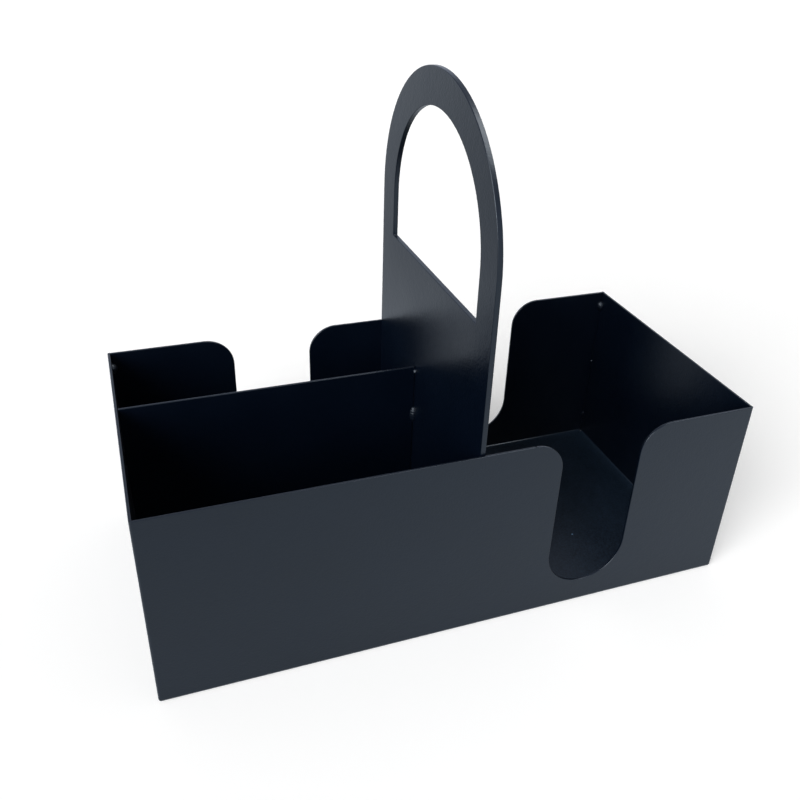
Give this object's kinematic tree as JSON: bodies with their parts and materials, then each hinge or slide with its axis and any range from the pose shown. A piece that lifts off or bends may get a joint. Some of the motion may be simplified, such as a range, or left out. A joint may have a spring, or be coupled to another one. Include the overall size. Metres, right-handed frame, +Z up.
{
  "type": "organizer bin with handle",
  "caption": "Open sheet-metal caddy with U-shaped cut-outs in its walls, a cross plate that rises to an arched carrying handle, and a long divider on one side.",
  "frame": {"origin": "middle of the tray's underside, on the surface it stands on", "axes": "+Z up; +X along the tray, towards the wide compartment that has a U cut-out front and back; -Y towards the front wall, the one with a single cut-out"},
  "size_m": [0.35, 0.17, 0.3],
  "materials": {
    "tray_coat": "satin black powder coat, fine texture",
    "handle_coat": "satin black powder coat, fine texture",
    "divider_coat": "satin black powder coat, fine texture",
    "seam_coat": "ground weld under satin black powder coat",
    "weld_coat": "weld bead under satin black powder coat"
  },
  "bodies": {
    "root": {"folded_tray": "tray_coat", "handle_plate": "handle_coat", "long_divider": "divider_coat", "corner_seam_back_left": "seam_coat", "corner_seam_back_right": "seam_coat", "corner_seam_front_left": "seam_coat", "corner_seam_front_right": "seam_coat", "corner_tack_back_left_low": "weld_coat", "corner_tack_back_left_middle": "weld_coat", "corner_tack_back_left_top": "weld_coat", "corner_tack_back_right_low": "weld_coat", "corner_tack_back_right_middle": "weld_coat", "corner_tack_back_right_top": "weld_coat", "corner_tack_front_left_low": "weld_coat", "corner_tack_front_left_middle": "weld_coat", "corner_tack_front_left_top": "weld_coat", "corner_tack_front_right_low": "weld_coat", "corner_tack_front_right_middle": "weld_coat", "corner_tack_front_right_top": "weld_coat", "divider_tack_plate_top": "weld_coat", "divider_stitch_plate_low": "weld_coat", "divider_stitch_plate_high": "weld_coat", "divider_stitch_wall_low": "weld_coat", "divider_stitch_wall_high": "weld_coat", "divider_stitch_foot_left": "weld_coat", "divider_stitch_foot_right": "weld_coat", "plate_stitch_front_low": "weld_coat", "plate_stitch_front_high": "weld_coat", "plate_stitch_back_low": "weld_coat", "plate_stitch_back_high": "weld_coat", "plate_stitch_foot_front": "weld_coat", "plate_stitch_foot_back": "weld_coat"}
  },
  "joints": []
}
